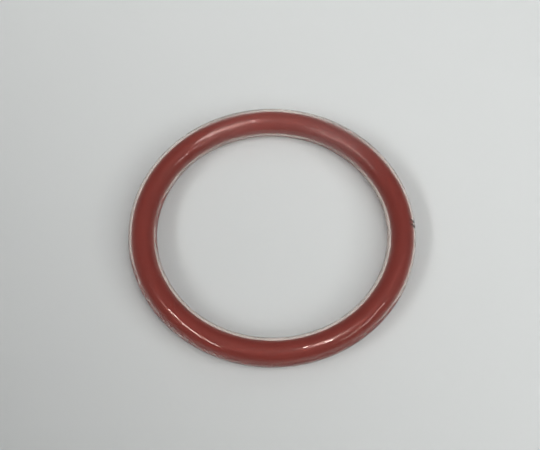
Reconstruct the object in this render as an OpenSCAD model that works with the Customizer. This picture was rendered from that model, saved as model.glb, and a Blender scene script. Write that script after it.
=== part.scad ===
// Encapsulated O-ring: a silicone cord ring sealed inside a clear fluoropolymer jacket.
// The jacket is a tube whose two ends are welded together, so it has no opening anywhere.
// The origin is the centre of the ring, and +Z is its axis. The ring lies flat on its lowest circle.

/* [Ring] */
// Inside diameter of the ring, across the hole
inside_d = 28.17; // [12:0.01:120]
// Thickness of the round section, outside the jacket
section_d = 3.53; // [3.52:0.01:6]

/* [Jacket] */
// Wall thickness of the clear jacket
jacket_wall = 0.33; // [0.2:0.01:0.34]

/* [Core] */
// Thickness of the silicone cord
core_d = 2.81; // [1.5:0.01:2.83]
// How far the cord's centreline lies outside the jacket's, because the cord is a little long
core_spread = 0.01; // [0:0.005:0.02]
// Clearance where the cord rests on the bore of the jacket
seat_clearance = 0.005; // [0.002:0.001:0.014]

/* [Weld] */
// Place of the jacket's weld round the ring, in degrees from +X towards +Y
weld_angle = 3.3; // [0:0.1:360]
// Length of welded tube between the two witness grooves
weld_length = 0.6; // [0.3:0.05:2]
// Width of each witness groove where it cuts the jacket's surface
groove_width = 0.14; // [0.04:0.01:0.2]
// Depth of each witness groove
groove_depth = 0.03; // [0.01:0.005:0.06]

/* [Hidden] */
$fn = 128;

section_r = section_d / 2;
bore_r = section_r - jacket_wall;
core_r = core_d / 2;

// Radius of the circle that the section's centre follows
ring_r = inside_d / 2 + section_r;

// The cord touches the bore below and outside its centre, so its centre is lowered by the
// other leg of the triangle whose hypotenuse is the free play
free_play = bore_r - core_r - seat_clearance;
core_drop = sqrt(pow(free_play, 2) - pow(core_spread, 2));

// A groove is an arc of a circle whose chord is groove_width and whose rise is groove_depth
groove_r = (pow(groove_width / 2, 2) + pow(groove_depth, 2)) / (2 * groove_depth);
groove_path_r = section_r + groove_r - groove_depth;

// Angle at the ring's centre from the middle of the weld to each groove
groove_angle = atan(weld_length / 2 / ring_r);

// Turns the drawing given as a child round the ring's axis, at radius r and height z
module round_ring(r, z = 0)
    rotate_extrude()
        translate([r, z])
            children();

// A ring that cuts one groove all the way round the section, at the given place round the ring
module witness_groove(place)
    rotate([0, 0, place])
        translate([ring_r, 0, 0])
            rotate([90, 0, 0])
                rotate_extrude()
                    translate([groove_path_r, 0])
                        circle(groove_r);

// Solid cord of red-brown silicone, joined end to end
module core()
    color([0.46, 0.21, 0.18])
        round_ring(ring_r + core_spread, -core_drop)
            circle(core_r);

// Clear tube closed into a ring, with the two fine grooves that its weld leaves
module jacket()
    color([0.93, 0.91, 0.87, 0.35])
        difference() {
            round_ring(ring_r)
                difference() {
                    circle(section_r);
                    circle(bore_r);
                }
            for (side = [-1, 1])
                witness_groove(weld_angle + side * groove_angle);
        }

core();
jacket();
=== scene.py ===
"""Encapsulated O-ring: a red-brown silicone cord sealed inside a clear tubular jacket."""

import logging
import math
from dataclasses import dataclass, field
from enum import Enum

import bpy
import numpy as np
from mathutils import Matrix, Vector


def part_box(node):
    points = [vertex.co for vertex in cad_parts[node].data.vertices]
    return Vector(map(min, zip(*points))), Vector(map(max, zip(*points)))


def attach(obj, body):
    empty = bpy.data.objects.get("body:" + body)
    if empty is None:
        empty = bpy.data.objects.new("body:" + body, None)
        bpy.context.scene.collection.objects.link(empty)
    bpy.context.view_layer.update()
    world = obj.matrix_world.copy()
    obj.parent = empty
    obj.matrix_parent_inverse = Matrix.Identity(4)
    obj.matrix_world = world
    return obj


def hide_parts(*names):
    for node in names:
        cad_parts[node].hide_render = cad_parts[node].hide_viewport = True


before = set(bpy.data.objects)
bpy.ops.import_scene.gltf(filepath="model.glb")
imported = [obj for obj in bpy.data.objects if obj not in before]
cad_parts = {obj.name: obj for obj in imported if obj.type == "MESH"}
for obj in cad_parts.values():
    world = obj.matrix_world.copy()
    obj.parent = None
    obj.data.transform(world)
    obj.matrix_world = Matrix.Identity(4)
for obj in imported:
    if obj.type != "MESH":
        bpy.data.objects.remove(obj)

MM = 1e-3
TURN = 2 * math.pi
LOG = logging.getLogger("o_ring")
Colour = tuple[float, float, float, float]
# Each row is a stretch of the ring: its middle and its reach in degrees, and a third number.
Rows = tuple[tuple[float, float, float], ...]


# ---------------------------------------------------------------- shader maths


@dataclass(frozen=True)
class Value:
    """A number socket of a shader graph, with the operators that Math nodes give."""

    graph: "Graph"
    socket: object

    def _math(self, operation: str, first: object, second: object) -> "Value":
        """Adds one Math node on two values, which may be numbers."""
        return self.graph.value("ShaderNodeMath", {"operation": operation}, {0: first, 1: second})

    def __add__(self, other: object) -> "Value":
        """Sum."""
        return self._math("ADD", self, other)

    def __radd__(self, other: object) -> "Value":
        """Sum with a number on the left."""
        return self._math("ADD", other, self)

    def __sub__(self, other: object) -> "Value":
        """Difference."""
        return self._math("SUBTRACT", self, other)

    def __rsub__(self, other: object) -> "Value":
        """Difference from a number on the left."""
        return self._math("SUBTRACT", other, self)

    def __mul__(self, other: object) -> "Value":
        """Product."""
        return self._math("MULTIPLY", self, other)

    def __rmul__(self, other: object) -> "Value":
        """Product with a number on the left."""
        return self._math("MULTIPLY", other, self)


class Graph:
    """The node graph of one material or world, filled through one method."""

    def __init__(self, owner: object) -> None:
        """Starts an empty graph.

        Args:
            owner: the material or world whose nodes these are.
        """
        owner.use_nodes = True
        self.tree = owner.node_tree
        self.tree.nodes.clear()

    def node(self, kind: str, settings: dict | None = None, inputs: dict | None = None) -> object:
        """Adds a node.

        Args:
            kind: the name of the node's type.
            settings: properties of the node, set before its sockets.
            inputs: socket names or numbers, each with a number, a colour, a socket or a Value.

        Returns:
            The new node.
        """
        made = self.tree.nodes.new(kind)
        for name, setting in (settings or {}).items():
            setattr(made, name, setting)
        for name, given in (inputs or {}).items():
            source = given.socket if isinstance(given, Value) else given
            if isinstance(source, bpy.types.NodeSocket):
                self.tree.links.new(source, made.inputs[name])
            else:
                made.inputs[name].default_value = source
        return made

    def value(
        self,
        kind: str,
        settings: dict | None = None,
        inputs: dict | None = None,
        output: object = 0,
    ) -> Value:
        """Adds a node as node() does, and returns one of its outputs as a Value."""
        return Value(self, self.node(kind, settings, inputs).outputs[output])

    def blend(self, factor: object, first: object, second: object) -> object:
        """Mixes two colours by a factor and returns the colour socket."""
        made = self.node("ShaderNodeMix", {"data_type": "RGBA"}, {0: factor, 6: first, 7: second})
        return made.outputs[2]

    def mix(self, factor: object, first: object, second: object) -> object:
        """Mixes two shader nodes by a factor and returns the mixing node."""
        inputs = {0: factor, 1: first.outputs[0], 2: second.outputs[0]}
        return self.node("ShaderNodeMixShader", {}, inputs)

    def smooth(self, value: object, start: float, end: float) -> Value:
        """Goes smoothly from 0 to 1 as a value goes from start to end."""
        inputs = {"Value": value, "From Min": start, "From Max": end}
        return self.value("ShaderNodeMapRange", {"interpolation_type": "SMOOTHSTEP"}, inputs)

    def attribute(self, name: str) -> Value:
        """An attribute that the mesh carries."""
        return self.value("ShaderNodeAttribute", {"attribute_name": name}, {}, "Fac")

    def object_point(self) -> object:
        """The surface point in the object's own coordinates, as a socket."""
        return self.node("ShaderNodeTexCoord").outputs["Object"]

    def noise(self, size: float, detail: float) -> Value:
        """Noise in the object's own coordinates.

        Args:
            size: size of its largest features, in metres.
            detail: how many times finer noise is added.

        Returns:
            A value about 0.5.
        """
        inputs = {"Vector": self.object_point(), "Scale": 1 / size, "Detail": detail}
        return self.value("ShaderNodeTexNoise", {}, inputs)

    def finish(self, shader: object) -> None:
        """Links a shader node to a new output node."""
        self.node("ShaderNodeOutputMaterial", {}, {"Surface": shader.outputs[0]})


# ---------------------------------------------------------------- finishes


@dataclass(frozen=True)
class SiliconeFinish:
    """Satin red-brown silicone rubber, a little mottled in colour.

    The mesh carries an attribute of painted light. It is above 0 on the ring's far side, where the
    red is painted brighter because more light falls there from behind and above.
    """

    name: str = "red_brown_silicone"
    light_red: Colour = (0.212, 0.0395, 0.0335, 1.0)
    deep_red: Colour = (0.175, 0.030, 0.0256, 1.0)
    # painted light: a brighter red for the far side, which takes more light from behind and above
    painted_lit_red: Colour = (0.29, 0.054, 0.045, 1.0)
    mottle_size: float = 2.2 * MM
    mottle_detail: float = 3.0
    grain_size: float = 2.2 / 9 * MM
    grain_detail: float = 2.0
    grain_depth: float = 0.02 * MM
    grain_strength: float = 0.06
    roughness: float = 0.5
    grain_roughness: float = 0.16
    ior: float = 1.41
    gloss: float = 0.3

    def make(self) -> bpy.types.Material:
        """Builds the material.

        Returns:
            The silicone material.
        """
        material = bpy.data.materials.new(self.name)
        graph = Graph(material)
        mottle = graph.noise(self.mottle_size, self.mottle_detail)
        grain = graph.noise(self.grain_size, self.grain_detail)
        mottled = graph.blend(mottle, self.deep_red, self.light_red)
        bump = graph.node(
            "ShaderNodeBump",
            {},
            {"Height": grain, "Strength": self.grain_strength, "Distance": self.grain_depth},
        )
        shader = graph.node(
            "ShaderNodeBsdfPrincipled",
            {},
            {
                # painted light: the red is blended towards the brighter red on the far side
                "Base Color": graph.blend(graph.attribute("painted_light"), mottled, self.painted_lit_red),
                "Roughness": self.roughness + self.grain_roughness * grain,
                "Normal": bump.outputs[0],
                "IOR": self.ior,
                "Specular IOR Level": self.gloss,
            },
        )
        graph.finish(shader)
        return material


@dataclass(frozen=True)
class ClearJacketFinish:
    """Clear fluoropolymer: a glossy outer skin, and a duller bore.

    Lamps and bounced light go through it unbent. On the outer skin they are stopped where they
    graze it, because there the real wall turns them aside, and that gives the jacket its shadow.
    The mesh carries three attributes: soil in the weld's grooves, dull where the skin is scuffed
    or the bore is frosted, and veil where the skin's scuffs scatter light.
    """

    name: str = "clear_fluoropolymer"
    tint: Colour = (0.85, 0.72, 0.66, 1.0)
    bore_tint: Colour = (0.98, 0.97, 0.96, 1.0)
    soil: Colour = (0.02, 0.014, 0.013, 1.0)
    soil_roughness: float = 0.7
    scatter: Colour = (0.82, 0.80, 0.79, 1.0)
    scatter_share: float = 0.05
    ior: float = 1.344
    passed_light: Colour = (0.93, 0.92, 0.90, 1.0)
    turned_light: Colour = (0.85, 0.83, 0.81, 1.0)
    roughness: float = 0.03
    haze_roughness: float = 0.05
    haze_size: float = 3.0 * MM
    haze_detail: float = 4.0
    scuff_roughness: float = 0.2
    scuff_size: float = 0.25 * MM
    scuff_depth: float = 0.105 * MM
    scuff_detail: float = 1.0
    bore_roughness: float = 0.10
    frost_roughness: float = 0.16
    ripple_size: float = 1.4 * MM
    ripple_depth: float = 0.001 * MM
    ripple_detail: float = 1.0
    rim_from: float = 0.95
    rim_to: float = 1.15

    def make_skin(self, bore_share: float) -> bpy.types.Material:
        """Builds the material of the outer skin.

        Args:
            bore_share: the bore's radius as a share of the section's.

        Returns:
            The clear, glossy material.
        """
        material = bpy.data.materials.new(self.name)
        graph = Graph(material)
        haze = graph.noise(self.haze_size, self.haze_detail)
        ripple = graph.noise(self.ripple_size, self.ripple_detail)
        scratches = graph.noise(self.scuff_size, self.scuff_detail)
        scuffed = graph.attribute("dull")
        height = self.ripple_depth * ripple + self.scuff_depth * scuffed * scratches
        bump = graph.node(
            "ShaderNodeBump", {}, {"Height": height, "Strength": 1.0, "Distance": 1.0}
        )
        roughness = self.roughness + self.haze_roughness * haze
        clear = graph.node(
            "ShaderNodeBsdfPrincipled",
            {},
            {
                "Base Color": self.tint,
                "Roughness": roughness + self.scuff_roughness * scuffed,
                "IOR": self.ior,
                "Transmission Weight": 1.0,
                "Normal": bump.outputs[0],
            },
        )
        scatter = graph.node("ShaderNodeBsdfDiffuse", {}, {"Color": self.scatter})
        veiled = graph.mix(self.scatter_share * graph.attribute("veil"), clear, scatter)
        soil = graph.node(
            "ShaderNodeBsdfPrincipled",
            {},
            {"Base Color": self.soil, "Roughness": self.soil_roughness},
        )
        marked = graph.mix(graph.attribute("soil"), veiled, soil)
        opened = graph.node("ShaderNodeBsdfTransparent", {}, {"Color": self.passed_light})
        stopped = self._stopped_at_the_rim(graph, opened, bore_share)
        graph.finish(self._open_to_light(graph, marked, stopped))
        return material

    def make_bore(self) -> bpy.types.Material:
        """Builds the material of the bore, which the cord has dulled.

        Returns:
            The clear, duller material.
        """
        material = bpy.data.materials.new(self.name + "_bore")
        graph = Graph(material)
        clear = graph.node(
            "ShaderNodeBsdfPrincipled",
            {},
            {
                "Base Color": self.bore_tint,
                "Roughness": self.bore_roughness + self.frost_roughness * graph.attribute("dull"),
                "IOR": self.ior,
                "Transmission Weight": 1.0,
            },
        )
        opened = graph.node("ShaderNodeBsdfTransparent", {}, {"Color": self.passed_light})
        graph.finish(self._open_to_light(graph, clear, opened))
        return material

    @staticmethod
    def _open_to_light(graph: Graph, clear: object, opened: object) -> object:
        """Shows shadow rays and diffuse rays the second shader, and all other rays the first.

        Args:
            graph: the graph to add to.
            clear: the shader that eyes and mirrors meet.
            opened: the shader that light meets.

        Returns:
            The shader that chooses between them.
        """
        rays = graph.node("ShaderNodeLightPath")
        for kind in ("Is Shadow Ray", "Is Diffuse Ray"):
            clear = graph.mix(rays.outputs[kind], clear, opened)
        return clear

    def _stopped_at_the_rim(self, graph: Graph, opened: object, bore_share: float) -> object:
        """Darkens light that passes the section further out than the bore.

        A ray that misses the section's centre by a share b of its radius meets the skin at an
        angle whose sine is b, and Facing is one less the cosine of that angle. With edge that
        value at the bore, the light dims smoothly from rim_from edge to rim_to edge.

        Args:
            graph: the graph to add to.
            opened: the shader that lets the light through.
            bore_share: the bore's radius as a share of the section's.

        Returns:
            The shader that dims the light at the rim.
        """
        edge = 1 - math.sqrt(1 - bore_share**2)
        facing = graph.value("ShaderNodeLayerWeight", {}, {"Blend": 0.5}, "Facing")
        rim = graph.smooth(facing, self.rim_from * edge, self.rim_to * edge)
        turned = graph.node("ShaderNodeBsdfTransparent", {}, {"Color": self.turned_light})
        return graph.mix(rim, opened, turned)


@dataclass(frozen=True)
class FloorFinish:
    """Plain pale matte floor, with painted shade: its colour is darker to one side, where the
    lamps' light falls off.

    With t going from 0 to 1 along the direction named towards, over the length named spread, and
    held at those ends, its colour goes from dim to pale by the share t (2 - t).
    """

    name: str = "pale_floor"
    # painted shade: the floor's colour at its darker side
    dim: Colour = (0.378, 0.387, 0.382, 1.0)
    pale: Colour = (0.673, 0.690, 0.683, 1.0)
    towards: tuple[float, float] = (0.766, 0.643)
    spread: float = 100 * MM
    roughness: float = 0.85
    gloss: float = 0.2
    bleed: float = 1.6 * MM

    def make(self) -> bpy.types.Material:
        """Builds the material.

        Returns:
            The floor material.
        """
        material = bpy.data.materials.new(self.name)
        graph = Graph(material)
        axes = graph.node("ShaderNodeSeparateXYZ", {}, {0: graph.object_point()})
        x, y = Value(graph, axes.outputs["X"]), Value(graph, axes.outputs["Y"])
        along = x * self.towards[0] + y * self.towards[1]
        t = graph.value(
            "ShaderNodeMapRange",
            {},
            {"Value": along, "From Min": -self.spread / 2, "From Max": self.spread / 2},
        )
        shader = graph.node(
            "ShaderNodeBsdfPrincipled",
            {},
            {
                # painted shade: the colour goes from dim to pale as the lamps' light falls off
                "Base Color": graph.blend(t * (2.0 - t), self.dim, self.pale),
                "Roughness": self.roughness,
                "Specular IOR Level": self.gloss,
                "Subsurface Weight": 1.0,
                "Subsurface Radius": (1.0, 1.0, 1.0),
                "Subsurface Scale": self.bleed,
            },
        )
        graph.finish(shader)
        return material


# ---------------------------------------------------------------- meshes


class Facing(Enum):
    """Which way a tube's surface faces."""

    OUT = "away from the tube's centreline"
    IN = "towards the tube's centreline"


@dataclass
class TubeSurface:
    """A grid surface round a ring, closed in both directions.

    A point's place is given by around, the angle round the ring from +X towards +Y, and by
    section, the angle round the tube from its outermost line upwards. With the tube's centreline
    of radius R at height h and the tube's own radius r, the point lies at distance
    R + r cos(section) from the ring's axis and at height h + r sin(section).
    """

    around: np.ndarray
    section: np.ndarray
    centre_r: np.ndarray
    centre_z: np.ndarray
    tube_r: np.ndarray
    facing: Facing = Facing.OUT

    def points(self) -> np.ndarray:
        """Works out the grid's points by the formula above.

        Returns:
            One row per point, in metres.
        """
        reach = self.centre_r + self.tube_r * np.cos(self.section)
        height = self.centre_z + self.tube_r * np.sin(self.section)
        grid = np.stack([reach * np.cos(self.around), reach * np.sin(self.around), height], axis=-1)
        return grid.reshape(-1, 3)

    def quads(self) -> np.ndarray:
        """Joins neighbouring points into faces, and the last ring and side to the first.

        Returns:
            Rows of four point numbers, turned to face the stated way.
        """
        rings, sides = self.around.shape[0], self.section.shape[1]
        ring = np.arange(rings)[:, None]
        side = np.arange(sides)[None, :]
        next_ring = (ring + 1) % rings
        next_side = (side + 1) % sides
        corners = [
            ring * sides + side,
            next_ring * sides + side,
            next_ring * sides + next_side,
            ring * sides + next_side,
        ]
        faces = np.stack(corners, axis=-1).reshape(-1, 4)
        return faces[:, ::-1] if self.facing is Facing.IN else faces


def joined_mesh(
    name: str, surfaces: list[TubeSurface], finishes: list[bpy.types.Material]
) -> bpy.types.Object:
    """Makes one smooth mesh object of several closed surfaces.

    Args:
        name: the piece's name.
        surfaces: the closed surfaces that bound it.
        finishes: one material for each surface.

    Returns:
        The object, at the origin.
    """
    points, quads, slots, start = [], [], [], 0
    for slot, surface in enumerate(surfaces):
        own = surface.points()
        points.append(own)
        quads.append(surface.quads() + start)
        slots.append(np.full(len(quads[-1]), slot))
        start += len(own)
    mesh = bpy.data.meshes.new(name)
    mesh.from_pydata(np.concatenate(points), [], np.concatenate(quads))
    mesh.polygons.foreach_set("use_smooth", np.ones(len(mesh.polygons), dtype=bool))
    for finish in finishes:
        mesh.materials.append(finish)
    mesh.polygons.foreach_set("material_index", np.concatenate(slots))
    mesh.update()
    made = bpy.data.objects.new(name, mesh)
    bpy.context.collection.objects.link(made)
    return made


def set_attribute(piece: bpy.types.Object, name: str, values: np.ndarray) -> None:
    """Gives a mesh's points an attribute.

    Args:
        piece: the mesh's object.
        name: the attribute's name.
        values: a number for each of the first points. The points after them get 0.
    """
    full = np.zeros(len(piece.data.vertices))
    full[: len(values)] = values
    piece.data.attributes.new(name, "FLOAT", "POINT").data.foreach_set("value", full)


# ---------------------------------------------------------------- the O-ring


def wrapped(angle: np.ndarray) -> np.ndarray:
    """The same angles, between minus half a turn and half a turn."""
    return (angle + math.pi) % TURN - math.pi


def patches(rows: Rows, around: np.ndarray) -> np.ndarray:
    """Soft-ended stretches of the ring, from 0 to 1.

    Args:
        rows: for each stretch its middle and its reach, in degrees, and its strength.
        around: angles round the ring.

    Returns:
        The sum of strength exp(-(d / reach)^2), with d the angle from the middle.
    """
    total = np.zeros_like(around)
    for middle, reach, most in rows:
        apart = wrapped(around - math.radians(middle))
        total += most * np.exp(-((apart / math.radians(reach)) ** 2))
    return np.clip(total, 0, 1)


def outer_band(section: np.ndarray, top: float, fade: float, foot: float = 30) -> np.ndarray:
    """A band on the side of the tube away from the ring's axis.

    Args:
        section: angles round the tube, from its outermost line upwards.
        top: how high the band goes, in degrees from the horizontal.
        fade: degrees below its top over which it comes up to 1.
        foot: degrees above the tube's lowest line over which it comes up to 1.

    Returns:
        0 to 1. It rises and falls evenly, and is 0 on the side towards the axis.
    """
    height = np.degrees(wrapped(section))
    return np.clip((top - height) / fade, 0, 1) * np.clip((height + 90) / foot, 0, 1)


@dataclass(frozen=True)
class RingSizes:
    """Sizes that both pieces share, in metres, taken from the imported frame."""

    ring_r: float
    section_r: float
    bore_r: float

    @classmethod
    def from_frame(cls, seat_clearance: float = 0.005 * MM) -> "RingSizes":
        """Reads the two CAD nodes' boxes.

        The cord rests on the bore's bottom, so the bore's lowest point is the cord's lowest point
        but for the clearance there.

        Args:
            seat_clearance: clearance where the cord rests on the bore, in metres.

        Returns:
            The sizes.
        """
        jacket_low, jacket_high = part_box("jacket")
        cord_low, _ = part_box("core")
        section_r = (jacket_high[2] - jacket_low[2]) / 2
        return cls(
            ring_r=(jacket_high[0] - jacket_low[0]) / 2 - section_r,
            section_r=section_r,
            bore_r=-cord_low[2] + seat_clearance,
        )


@dataclass(frozen=True)
class Lie:
    """How the cord lies in the bore.

    The soft cord clings to the lower part of the bore and stands clear of it higher up. Each row
    of clings_outside and clings_inside gives a place round the ring in degrees from +X towards +Y,
    and how high up the bore the cord clings there, in degrees from the horizontal through the
    section's centre, on the side away from the ring's axis and on the side towards it.
    """

    clings_outside: tuple[tuple[float, float], ...] = (
        (0, -45), (30, -45), (90, -45), (150, -40), (172, -35), (186, -15), (194, 6), (205, 10),
        (230, 10), (245, 6), (260, 4), (280, 5), (300, 6), (325, 4), (333, -8), (342, -40),
    )
    clings_inside: tuple[tuple[float, float], ...] = (
        (0, -45), (30, -40), (40, -22), (60, -18), (75, -25), (120, -45), (145, -40), (154, -20),
        (162, 8), (175, 14), (188, 10), (197, -4), (210, -25), (270, -40), (330, -40),
    )
    peel_angle: float = math.radians(40)
    top_gap: float = 0.012 * MM
    flat_gap: float = 0.05 * MM
    flat_at: float = math.radians(-5)
    flat_reach: float = math.radians(32)
    press: float = 0.001 * MM
    uneven: float = 0.0015 * MM
    most_uneven: float = 0.006 * MM
    dry: Rows = ((224, 26, 1.0),)
    dry_low: Rows = ((288, 40, 0.8), (75, 45, 0.5))
    low_top: float = 88
    low_fade: float = 15
    seed: int = 5

    @staticmethod
    def _limit(rows: tuple[tuple[float, float], ...], around: np.ndarray) -> np.ndarray:
        """How high the cord clings at each place, as an angle from straight down.

        Args:
            rows: places round the ring and heights there, in degrees.
            around: angles round the ring.

        Returns:
            The heights taken evenly from row to row, made wavy: with a the angle round the ring,
            2.5 sin(31 a + 1) + 2 sin(73 a) sin(5 a) degrees are added.
        """
        places, heights = np.array(rows).T
        at = np.degrees(around) % 360
        long_wave = 2.5 * np.sin(31 * around + 1.0)
        short_wave = 2.0 * np.sin(73 * around) * np.sin(5 * around)
        wavy = np.interp(at, places, heights, period=360) + long_wave + short_wave
        return np.radians(90 + wavy)

    def gap(self, around: np.ndarray, section: np.ndarray) -> np.ndarray:
        """Distance from the bore to the cord, in metres, below zero where the cord is pressed on.

        Where the cord doesn't cling, it stands off by top_gap, and by flat_gap more on the side
        towards the ring's axis, where the bend flattens it: flat_gap exp(-(d / flat_reach)^2), with
        d the angle from flat_at on that side. With t the share of peel_angle by which a place is
        higher than the cord clings, held between 0 and 1, the gap is that distance times
        (3 t t - 2 t t t), less press. The cord's skin is a little uneven, up or down by as much as
        uneven, and by most_uneven along the dry stretch and low down along the stretches of
        dry_low, so that where it clings some specks of it stay clear of the bore. Low down means
        up to low_top degrees from straight down, coming up to 1 over the top low_fade degrees.

        Args:
            around: angles round the ring.
            section: angles round the tube, from its outermost line upwards.

        Returns:
            The gap at each point of the grid.
        """
        shape = np.broadcast(around, section).shape
        from_bottom = wrapped(section + math.pi / 2)
        low = np.clip((self.low_top - np.degrees(np.abs(from_bottom))) / self.low_fade, 0, 1)
        dry = np.clip(patches(self.dry, around) + low * patches(self.dry_low, around), 0, 1)
        uneven = self.uneven + (self.most_uneven - self.uneven) * dry
        specks = np.random.default_rng(self.seed).uniform(-1, 1, shape) * uneven
        outside = from_bottom >= 0
        limit = np.where(
            outside,
            self._limit(self.clings_outside, around),
            self._limit(self.clings_inside, around),
        )
        share = np.clip((np.abs(from_bottom) - limit) / self.peel_angle, 0, 1)
        from_flat = wrapped(section - (math.pi - self.flat_at))
        stands_off = self.top_gap + self.flat_gap * np.exp(-((from_flat / self.flat_reach) ** 2))
        return stands_off * share**2 * (3 - 2 * share) - self.press + specks


@dataclass(frozen=True)
class Lean:
    """Where the bore stands off the middle of the tube, so that the wall is thinner outside."""

    middle: float = math.radians(2)
    reach: float = math.radians(28)
    most: float = 0.09 * MM

    def at(self, around: np.ndarray) -> np.ndarray:
        """Outward shift of the bore: most exp(-(d / reach)^2), with d the angle from the middle."""
        apart = wrapped(around - self.middle)
        return self.most * np.exp(-((apart / self.reach) ** 2))


@dataclass
class Jacket:
    """The clear tube, welded into a ring.

    The fields scuffed and veiled hold rows for patches(), and the two frosted fields hold rows for
    frosts(). The tops and fades of the weld and the veil, in degrees, are those of outer_band().
    """

    sizes: RingSizes
    lean: Lean
    weld_at: float = math.radians(3.3)
    weld_length: float = 0.6 * MM
    groove_width: float = 0.14 * MM
    groove_depth: float = 0.03 * MM
    groove_flatness: int = 2
    faint: float = 0.35
    soil_width: float = 0.15 * MM
    soil_flatness: int = 4
    weld_top: float = 62
    weld_fade: float = 20
    scuffed: Rows = ((54, 21, 1.0), (112, 16, 1.0))
    veiled: Rows = ((58, 20, 0.55), (95, 30, 0.35))
    veil_top: float = 90
    veil_fade: float = 25
    frosted_outside: Rows = ((218, 22, 10), (66, 28, 54))
    frosted_inside: Rows = ((55, 18, 4), (95, 20, 0), (130, 20, 4))
    frost_fade: float = 10
    rings: int = 720
    weld_rings: int = 120
    weld_reach: float = 3.0
    sides: int = 72
    bore_sides: int = 64

    def around(self) -> np.ndarray:
        """Spaces the grid's rings, finer for weld_reach weld lengths each way from the weld.

        Returns:
            The rings' angles, as a column.
        """
        reach = self.weld_reach * self.weld_length / self.sizes.ring_r
        fine = np.linspace(-reach, reach, self.weld_rings, endpoint=False)
        plain = np.linspace(reach, TURN - reach, self.rings - self.weld_rings, endpoint=False)
        return (np.concatenate([fine, plain]) + self.weld_at)[:, None]

    def marks(self, around: np.ndarray, width: float, flatness: int) -> np.ndarray:
        """The two witness lines of the weld.

        Args:
            around: angles round the ring.
            width: width of a line, in metres.
            flatness: 2 for a rounded profile, and more for a flatter one with steeper sides.

        Returns:
            exp(-(d / half the width)^flatness), with d the distance from the nearer line.
        """
        along = (around - self.weld_at) * self.sizes.ring_r
        distance = np.abs(np.abs(along) - self.weld_length / 2)
        return np.exp(-((distance / (width / 2)) ** flatness))

    def veil(self, around: np.ndarray, section: np.ndarray) -> np.ndarray:
        """How strongly scuffs scatter light: twice as much on the tube's outer side."""
        rim = outer_band(section, self.veil_top, self.veil_fade)
        return patches(self.veiled, around) * (1 + rim)

    def frosts(self, around: np.ndarray, section: np.ndarray) -> np.ndarray:
        """How frosted the bore is at each place, from 0 to 1.

        Each row of frosted_outside and frosted_inside gives the middle of a frosted stretch and
        its reach round the ring, and how high up the bore it goes on that side, in degrees from
        the horizontal. The frost fades out evenly over frost_fade degrees at its top.

        Args:
            around: angles round the ring.
            section: angles round the tube, from its outermost line upwards.

        Returns:
            The frost at each point of the grid.
        """
        from_bottom = wrapped(section + math.pi / 2)
        height = np.degrees(np.abs(from_bottom)) - 90
        frost = np.zeros(np.broadcast(around, section).shape)
        outside = from_bottom >= 0
        for rows, side in ((self.frosted_outside, outside), (self.frosted_inside, ~outside)):
            for middle, reach, top in rows:
                along = patches(((middle, reach, 1.0),), around)
                frost += side * along * np.clip((top - height) / self.frost_fade, 0, 1)
        return np.clip(frost, 0, 1)

    def build(self, finish: ClearJacketFinish) -> bpy.types.Object:
        """Builds the outer surface and the bore as one hollow piece.

        The weld's grooves are cut in full on the side away from the ring's axis, and faintly over
        the top and on the other side, where they carry no soil.

        Args:
            finish: the jacket's finish.

        Returns:
            The jacket's object.
        """
        sizes = self.sizes
        around = self.around()
        section = np.linspace(0, TURN, self.sides, endpoint=False)[None, :]
        grooves = self.marks(around, self.groove_width, self.groove_flatness)
        share = outer_band(section, self.weld_top, self.weld_fade)
        soiled = self.marks(around, self.soil_width, self.soil_flatness) * share
        outside = TubeSurface(
            around,
            section,
            np.full_like(around, sizes.ring_r),
            np.zeros_like(around),
            sizes.section_r - self.groove_depth * grooves * np.maximum(share, self.faint),
        )
        even = np.linspace(0, TURN, self.rings, endpoint=False)[:, None]
        bore_section = np.linspace(0, TURN, self.bore_sides, endpoint=False)[None, :]
        bore = TubeSurface(
            even,
            bore_section,
            sizes.ring_r + self.lean.at(even),
            np.zeros_like(even),
            np.full_like(even, sizes.bore_r),
            Facing.IN,
        )
        skins = [finish.make_skin(sizes.bore_r / sizes.section_r), finish.make_bore()]
        piece = joined_mesh("clear_jacket", [outside, bore], skins)
        scuffs = np.broadcast_to(patches(self.scuffed, around), soiled.shape)
        set_attribute(piece, "soil", soiled.ravel())
        set_attribute(piece, "veil", self.veil(around, section).ravel())
        frosts = self.frosts(even, bore_section)
        set_attribute(piece, "dull", np.concatenate([scuffs.ravel(), frosts.ravel()]))
        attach(piece, "root")
        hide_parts("jacket")
        return piece


@dataclass
class Cord:
    """The silicone cord inside the jacket, joined end to end.

    Its rows for patches() give where the red is painted brighter: painted light on the far side of
    the ring, which takes more light from behind and above.
    """

    sizes: RingSizes
    lean: Lean
    lie: Lie = field(default_factory=Lie)
    painted_far_light: Rows = ((94, 22, 0.45),)
    rings: int = 1500
    sides: int = 64

    def build(self, finish: SiliconeFinish) -> bpy.types.Object:
        """Builds the cord.

        Args:
            finish: the cord's finish.

        Returns:
            The cord's object.
        """
        sizes = self.sizes
        around = np.linspace(0, TURN, self.rings, endpoint=False)[:, None]
        section = np.linspace(0, TURN, self.sides, endpoint=False)[None, :]
        surface = TubeSurface(
            around,
            section,
            sizes.ring_r + self.lean.at(around),
            np.zeros_like(around),
            sizes.bore_r - self.lie.gap(around, section),
        )
        piece = joined_mesh("silicone_cord", [surface], [finish.make()])
        # painted light: where the far side's red is painted brighter
        painted_light = np.broadcast_to(patches(self.painted_far_light, around), (len(around), self.sides))
        set_attribute(piece, "painted_light", painted_light.ravel())
        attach(piece, "root")
        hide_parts("core")
        return piece


# ---------------------------------------------------------------- the studio


class LampUse(Enum):
    """What a lamp is there for."""

    LIGHT = "lights the surfaces only"
    MIRRORED = "is mirrored in gloss only"


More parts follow.
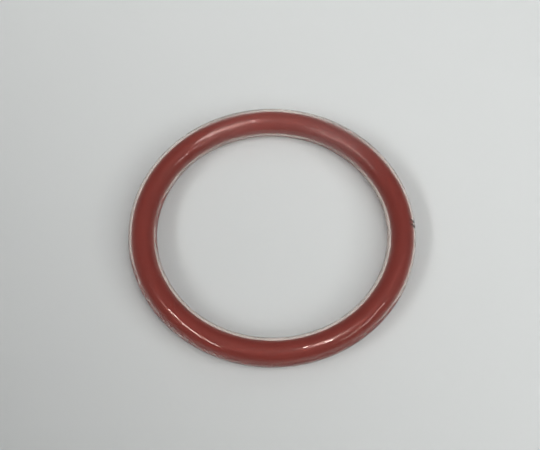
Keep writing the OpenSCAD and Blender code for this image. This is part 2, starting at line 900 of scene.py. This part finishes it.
@dataclass(frozen=True)
class StripLamp:
    """A long soft ceiling lamp that runs along Y, or is turned from it by some degrees.

    Its place across, its start and end along Y and its width are shares of the ceiling's height. A
    lamp that is only mirrored is a little warmer than the others.
    """

    name: str
    across: float
    start: float
    end: float
    width: float
    radiance: float
    use: LampUse
    turned: float = 0.0
    mirrored_tint: tuple[float, float, float] = (1.0, 0.80, 0.77)

    def place(self, ceiling: float) -> bpy.types.Object:
        """Hangs the lamp, facing down.

        Args:
            ceiling: height of the lamps over the floor, in metres.

        Returns:
            The lamp's object.
        """
        width, length = self.width * ceiling, abs(self.end - self.start) * ceiling
        light = bpy.data.lights.new(self.name, "AREA")
        light.shape = "RECTANGLE"
        light.size, light.size_y = width, length
        light.energy = self.radiance * math.pi * width * length
        if self.use is LampUse.MIRRORED:
            light.color = self.mirrored_tint
        lamp = bpy.data.objects.new(self.name, light)
        lamp.location = (self.across * ceiling, (self.start + self.end) / 2 * ceiling, ceiling)
        lamp.rotation_euler = (0, 0, math.radians(self.turned))
        lamp.visible_diffuse = self.use is LampUse.LIGHT
        lamp.visible_glossy = lamp.visible_transmission = self.use is LampUse.MIRRORED
        bpy.context.collection.objects.link(lamp)
        return lamp


@dataclass
class Studio:
    """Floor, lamps, surroundings and camera.

    The surroundings are dim high up. Low down they go from front_light to back_light as the
    direction's Y goes over the range named behind, and they fade to high_light as its Z goes over
    the range named high. Distances are in metres, but for the camera's distance and target, which
    are in ring radii. The camera's angles are in degrees, and its sensor and lens in millimetres.
    """

    sizes: RingSizes
    ceiling: float = 0.6
    floor_reach: float = 3.0
    lamps: tuple[StripLamp, ...] = (
        StripLamp("middle_light", 0.26, -0.03, -0.40, 0.16, 20.0, LampUse.LIGHT),
        StripLamp("middle_gloss", 0.27, -0.055, -0.345, 0.18, 54.0, LampUse.MIRRORED, 20.0),
        StripLamp("left_light", -1.035, -0.05, -1.2, 0.10, 39.0, LampUse.LIGHT),
        StripLamp("left_gloss", -0.68, -0.05, -1.1, 0.08, 31.0, LampUse.MIRRORED),
        StripLamp("left_soft", -1.0, 0.2, -1.6, 0.8, 1.3, LampUse.LIGHT),
        StripLamp("right_light", 1.684, 0.0, -1.5, 0.16, 25.0, LampUse.LIGHT),
        StripLamp("right_gloss", 1.18, -0.12, -1.4, 0.08, 22.0, LampUse.MIRRORED),
        StripLamp("right_soft", 1.0, 0.2, -1.6, 0.8, 2.9, LampUse.LIGHT),
        StripLamp("back_soft", 0.0, 1.7, 0.5, 1.2, 0.8, LampUse.LIGHT),
    )
    front_light: Colour = (0.07, 0.07, 0.072, 1.0)
    back_light: Colour = (0.50, 0.50, 0.505, 1.0)
    high_light: Colour = (0.05, 0.05, 0.051, 1.0)
    backdrop: Colour = (0.66, 0.67, 0.67, 1.0)
    behind: tuple[float, float] = (-0.4, 0.8)
    high: tuple[float, float] = (0.1, 0.5)
    camera_distance: float = 10.0
    camera_elevation: float = 62.64
    camera_roll: float = 0.49
    camera_target: tuple[float, float, float] = (-0.0169, 0.0635, 0)
    sensor_width: float = 36.0
    lens: float = 86.1333333
    clip: tuple[float, float] = (0.001, 20.0)

    def light(self) -> None:
        """Hangs the lamps and sets the dim surroundings, paler low down behind the ring."""
        for lamp in self.lamps:
            lamp.place(self.ceiling)
        world = bpy.data.worlds.new("surroundings")
        bpy.context.scene.world = world
        graph = Graph(world)
        direction = graph.node("ShaderNodeTexCoord").outputs["Generated"]
        axes = graph.node("ShaderNodeSeparateXYZ", {}, {0: direction})
        behind = graph.smooth(axes.outputs["Y"], *self.behind)
        high = graph.smooth(axes.outputs["Z"], *self.high)
        low_light = graph.blend(behind, self.front_light, self.back_light)
        colour = graph.blend(high, low_light, self.high_light)
        seen = graph.node("ShaderNodeLightPath").outputs["Is Camera Ray"]
        shown = graph.blend(seen, colour, self.backdrop)
        background = graph.node("ShaderNodeBackground", {}, {"Color": shown, "Strength": 1.0})
        graph.node("ShaderNodeOutputWorld", {}, {"Surface": background.outputs[0]})

    def lay_floor(self) -> None:
        """Lays the floor under the ring."""
        signs = np.array([(-1, -1), (1, -1), (1, 1), (-1, 1)])
        heights = np.full((4, 1), -self.sizes.section_r)
        mesh = bpy.data.meshes.new("floor")
        mesh.from_pydata(np.hstack([signs * self.floor_reach, heights]), [], [(0, 1, 2, 3)])
        floor = bpy.data.objects.new("floor", mesh)
        floor.data.materials.append(FloorFinish().make())
        bpy.context.collection.objects.link(floor)

    def aim_camera(self) -> None:
        """Sets the camera in front of the ring and above it, looking down at its middle."""
        ring_r = self.sizes.ring_r
        elevation, roll = math.radians(self.camera_elevation), math.radians(self.camera_roll)
        target = Vector(self.camera_target) * ring_r
        place = Vector((0, -math.cos(elevation), math.sin(elevation)))
        place *= self.camera_distance * ring_r
        back = (place - target).normalized()
        side = Vector((0, 0, 1)).cross(back).normalized()
        up = back.cross(side)
        turned_side = math.cos(roll) * side + math.sin(roll) * up
        turned_up = back.cross(turned_side)
        data = bpy.data.cameras.new("camera")
        data.sensor_width = self.sensor_width
        data.lens = self.lens
        data.clip_start, data.clip_end = self.clip
        camera = bpy.data.objects.new("camera", data)
        camera.matrix_world = Matrix.Translation(place) @ Matrix(
            (turned_side, turned_up, back)
        ).transposed().to_4x4()
        bpy.context.collection.objects.link(camera)
        bpy.context.scene.camera = camera


def main() -> None:
    """Builds the O-ring and its studio."""
    logging.basicConfig(level=logging.INFO, format="%(name)s: %(message)s")
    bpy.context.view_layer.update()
    sizes = RingSizes.from_frame()
    lean = Lean()
    cord = Cord(sizes, lean).build(SiliconeFinish())
    jacket = Jacket(sizes, lean).build(ClearJacketFinish())
    for piece in (cord, jacket):
        LOG.info("built %s with %d faces", piece.name, len(piece.data.polygons))
    studio = Studio(sizes)
    studio.lay_floor()
    studio.light()
    studio.aim_camera()
    bpy.context.scene.view_settings.view_transform = "Standard"


if __name__ == "__main__":
    main()
